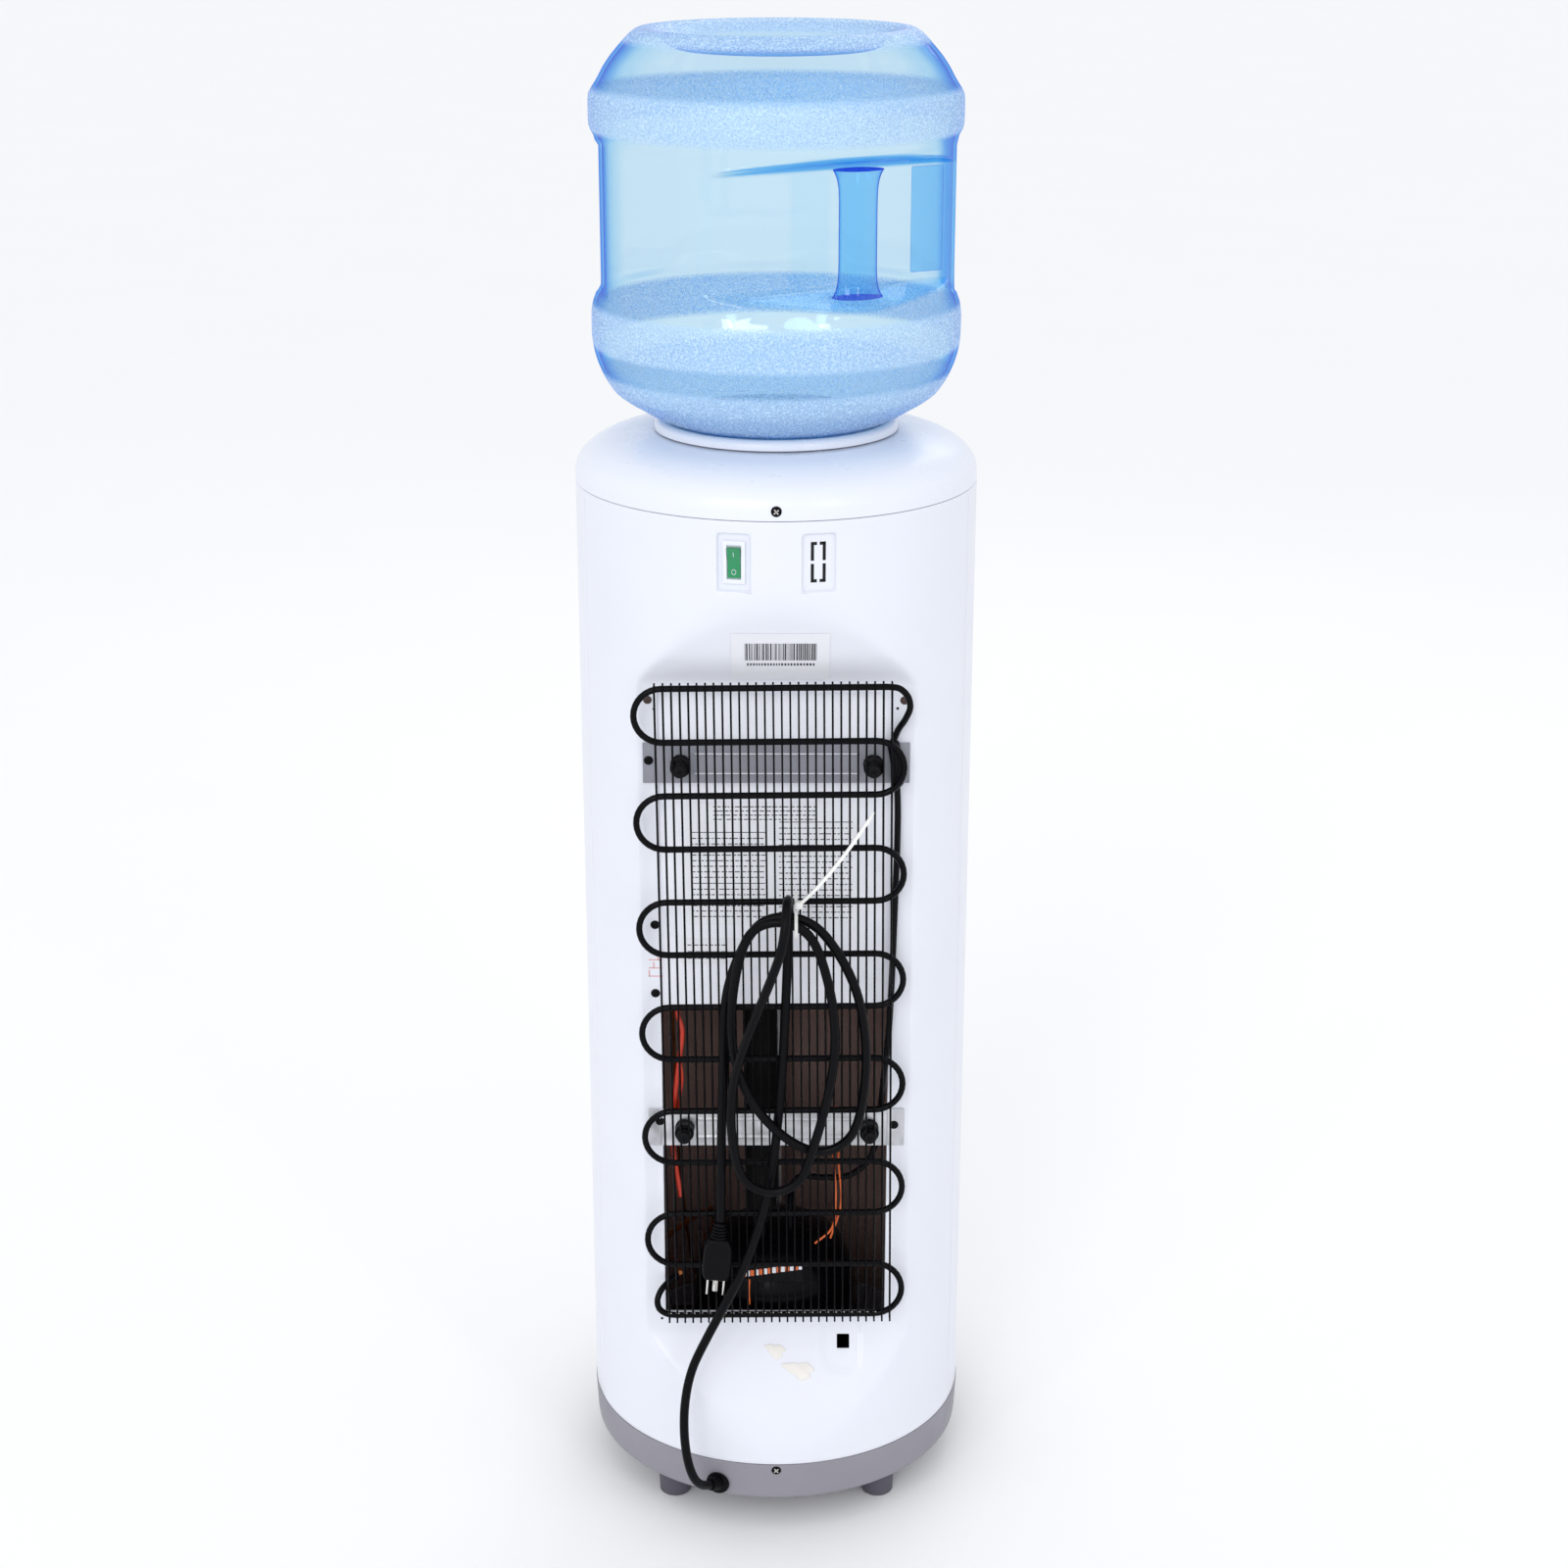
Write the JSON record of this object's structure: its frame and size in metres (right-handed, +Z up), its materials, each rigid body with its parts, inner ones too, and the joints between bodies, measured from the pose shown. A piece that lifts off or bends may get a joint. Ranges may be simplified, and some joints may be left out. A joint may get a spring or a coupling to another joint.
{
  "type": "water dispenser",
  "caption": "Floor-standing hot and cold water dispenser: round cabinet with a rear wire condenser, taps in a front alcove, an inverted bottle on top and a looped mains cord.",
  "frame": {"origin": "on the cabinet's axis, at floor level under the feet", "axes": "+Z up along the cabinet; -Y out of the front, where the taps are; +Y out of the rear, where the condenser hangs"},
  "size_m": [0.2972, 0.3271, 1.1327],
  "materials": {
    "white_enamel": "gloss enamel",
    "white_plastic": "gloss",
    "grey_plastic": "fine texture",
    "back_plate_steel": "satin",
    "bottle_plastic": "clear tinted",
    "blue_cap": "matt",
    "red_plastic": "gloss",
    "blue_plastic": "gloss",
    "green_lens": "clear tinted",
    "red_lens": "clear tinted",
    "amber_lens": "clear tinted",
    "green_rocker": "translucent gloss",
    "stainless": "satin",
    "black_enamel": "gloss enamel",
    "bracket_paint": "satin",
    "galvanised": "galvanised",
    "black_plastic": "satin",
    "black_rubber": "satin",
    "copper": "dull",
    "foam": "foam",
    "black_foam": "closed-cell foam",
    "silicone": "translucent",
    "nylon": "satin"
  },
  "bodies": {
    "cabinet": {"base_pan": "grey_plastic", "foot_rear_left": "grey_plastic", "foot_rear_right": "grey_plastic", "foot_front_left": "grey_plastic", "foot_front_right": "grey_plastic", "rear_shell": "white_enamel", "front_shell": "white_enamel", "back_plate": "back_plate_steel", "top_cover": "white_plastic", "collar_ring": "white_plastic", "spill_guard": "white_plastic", "alcove_liner": "grey_plastic", "hot_tap": "white_plastic", "cold_tap": "white_plastic", "power_lens": "green_lens", "heating_lens": "red_lens", "cooling_lens": "amber_lens", "cold_tank": "stainless", "cold_insulation": "foam", "evaporator_coil": "copper", "hot_tank": "stainless", "hot_insulation": "foam", "heater_band": "stainless", "hot_thermostat": "black_plastic", "cold_thermostat": "black_plastic", "compressor": "black_enamel", "relay_box": "black_plastic", "condenser": "black_enamel", "upper_bracket": "bracket_paint", "lower_bracket": "galvanised", "standoff_upper_left": "black_plastic", "standoff_upper_right": "black_plastic", "standoff_lower_left": "black_plastic", "standoff_lower_right": "black_plastic", "suction_line": "black_foam", "discharge_line": "black_enamel", "liquid_line": "copper", "filter_drier": "copper", "capillary_tube": "copper", "cold_water_hose": "silicone", "hot_water_hose": "silicone", "hot_feed_hose": "silicone", "drain_hose": "silicone", "drain_fitting": "white_plastic", "switch_bezel": "white_plastic", "wire_harness": "black_rubber", "cord_gland": "black_rubber", "power_cord": "black_rubber", "power_plug": "black_rubber", "cable_tie": "nylon", "cover_screw": "black_enamel", "base_screw": "black_enamel"},
    "bottle": {"bottle": "bottle_plastic", "bottle_cap": "blue_cap"},
    "hot_lever": {"hot_lever": "red_plastic"},
    "hot_catch": {"hot_catch": "white_plastic"},
    "cold_lever": {"cold_lever": "blue_plastic"},
    "drip_tray": {"drip_tray": "grey_plastic"},
    "drip_grille": {"drip_grille": "grey_plastic"},
    "power_rocker": {"power_rocker": "green_rocker"}
  },
  "joints": [
    {"name": "bottle_lift", "type": "slide", "parent": "cabinet", "child": "bottle", "axis": [0, 0, 1], "range_m": [0, 0.12]},
    {"name": "hot_press", "type": "hinge", "parent": "cabinet", "child": "hot_lever", "pos_m": [-0.032, -0.108, 0.74], "axis": [1, 0, 0], "range_deg": [0, 15], "stiffness_Nm_per_rad": 1.2, "springref_deg": -5.73},
    {"name": "hot_catch_slide", "type": "slide", "parent": "hot_lever", "child": "hot_catch", "axis": [0, 1, 0], "range_m": [0, 0.0038], "stiffness_N_per_m": 200, "springref_m": -0.001},
    {"name": "cold_press", "type": "hinge", "parent": "cabinet", "child": "cold_lever", "pos_m": [0.032, -0.108, 0.74], "axis": [1, 0, 0], "range_deg": [0, 15], "stiffness_Nm_per_rad": 1.2, "springref_deg": -5.73},
    {"name": "drip_tray_slide", "type": "slide", "parent": "cabinet", "child": "drip_tray", "axis": [0, -1, 0], "range_m": [0, 0.09]},
    {"name": "drip_grille_lift", "type": "slide", "parent": "drip_tray", "child": "drip_grille", "axis": [0, 0, 1], "range_m": [0, 0.04]},
    {"name": "power_rock", "type": "hinge", "parent": "cabinet", "child": "power_rocker", "pos_m": [0.02887, 0.14067, 0.782], "axis": [0.9796, -0.2011, 0], "range_deg": [0, 14]}
  ]
}
